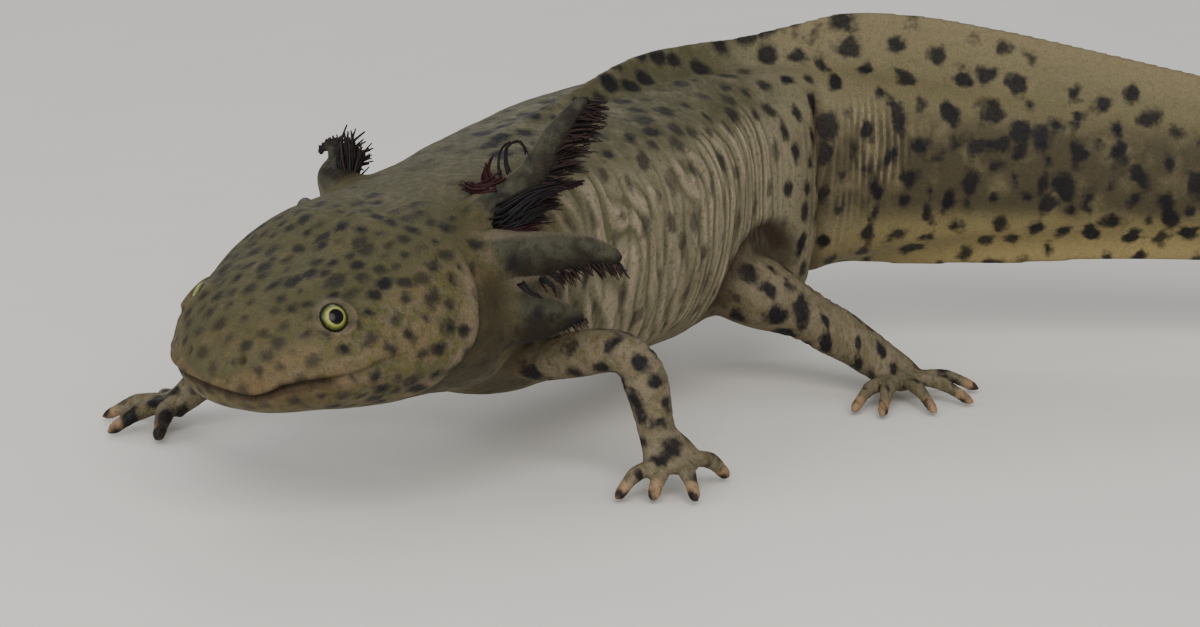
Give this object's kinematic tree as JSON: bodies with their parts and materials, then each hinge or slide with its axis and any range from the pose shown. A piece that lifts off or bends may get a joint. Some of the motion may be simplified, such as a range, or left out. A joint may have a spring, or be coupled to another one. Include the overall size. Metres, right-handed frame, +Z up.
{
  "type": "axolotl",
  "caption": "Life-size axolotl standing on its four feet, head low and turned, tail curved to its left, with feathery outer gills.",
  "frame": {"origin": "middle of the bounding box, at the floor under the feet", "axes": "-X where the head faces, -Y to the animal's left, +Z up"},
  "size_m": [0.1926, 0.1266, 0.0484],
  "materials": {
    "skin": "moist, spotted skin",
    "fin_skin": "thin, moist fin skin",
    "gill": "soft, moist, dark gill filaments",
    "eye": "clear, wet"
  },
  "bodies": {
    "root": {"head": "skin", "neck": "skin", "torso": "skin", "tail_base": "skin", "tail_middle": "skin", "tail_tip": "skin", "upper_arm_left": "skin", "forearm_left": "skin", "forefoot_left": "skin", "thigh_left": "skin", "shank_left": "skin", "hindfoot_left": "skin", "upper_arm_right": "skin", "forearm_right": "skin", "forefoot_right": "skin", "thigh_right": "skin", "shank_right": "skin", "hindfoot_right": "skin", "dorsal_fin_trunk": "fin_skin", "dorsal_fin_tail_base": "fin_skin", "dorsal_fin_tail_middle": "fin_skin", "dorsal_fin_tail_tip": "fin_skin", "ventral_fin_tail_base": "fin_skin", "ventral_fin_tail_middle": "fin_skin", "ventral_fin_tail_tip": "fin_skin", "gill_left_upper": "gill", "gill_left_middle": "gill", "gill_left_lower": "gill", "gill_right_upper": "gill", "gill_right_middle": "gill", "gill_right_lower": "gill", "eye_left": "eye", "eye_right": "eye"}
  },
  "joints": []
}
